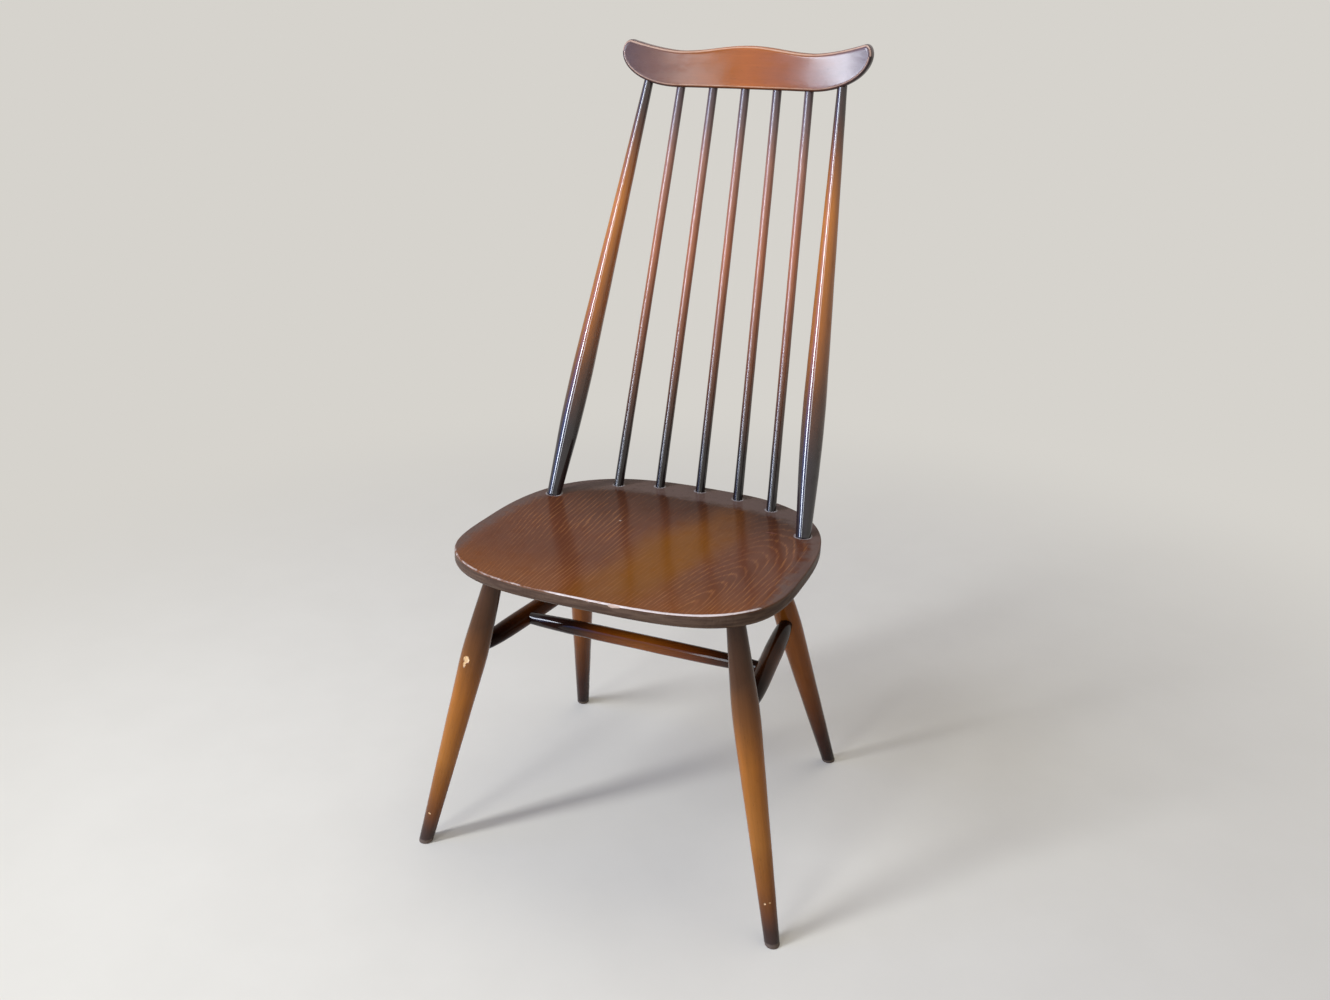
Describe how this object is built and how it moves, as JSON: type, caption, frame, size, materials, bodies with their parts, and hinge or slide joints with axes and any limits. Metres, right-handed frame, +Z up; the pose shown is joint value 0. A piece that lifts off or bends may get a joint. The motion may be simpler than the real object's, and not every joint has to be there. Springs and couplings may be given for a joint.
{
  "type": "spindle-back side chair",
  "caption": "Tall side chair with a saddled solid seat, splayed turned legs joined by stretchers, and tapered posts and spindles carrying a shaped crest rail.",
  "frame": {"origin": "on the floor, at the centre of the chair's bounding box in plan", "axes": "+Z up, -Y towards the front of the seat, +X to the right as seen from the front"},
  "size_m": [0.4909, 0.5253, 0.9659],
  "materials": {
    "seat_wood": "open-grained wood, dark red-brown stain burnished amber in the middle, worn gloss lacquer",
    "turned_wood": "close-grained turned wood, amber-brown stain shaded almost black at the ends, gloss lacquer with small chips",
    "back_wood": "close-grained turned wood, red-brown stain shaded almost black at both ends, bright gloss lacquer",
    "crest_wood": "shaped wood, red-brown stain darker at the ends, bright gloss lacquer worn on the edges"
  },
  "bodies": {
    "root": {"seat": "seat_wood", "leg_front_left": "turned_wood", "leg_front_right": "turned_wood", "leg_back_left": "turned_wood", "leg_back_right": "turned_wood", "side_stretcher_left": "turned_wood", "side_stretcher_right": "turned_wood", "cross_stretcher": "turned_wood", "back_post_left": "back_wood", "back_post_right": "back_wood", "back_spindle_1": "back_wood", "back_spindle_2": "back_wood", "back_spindle_3": "back_wood", "back_spindle_4": "back_wood", "back_spindle_5": "back_wood", "crest_rail": "crest_wood"}
  },
  "joints": []
}
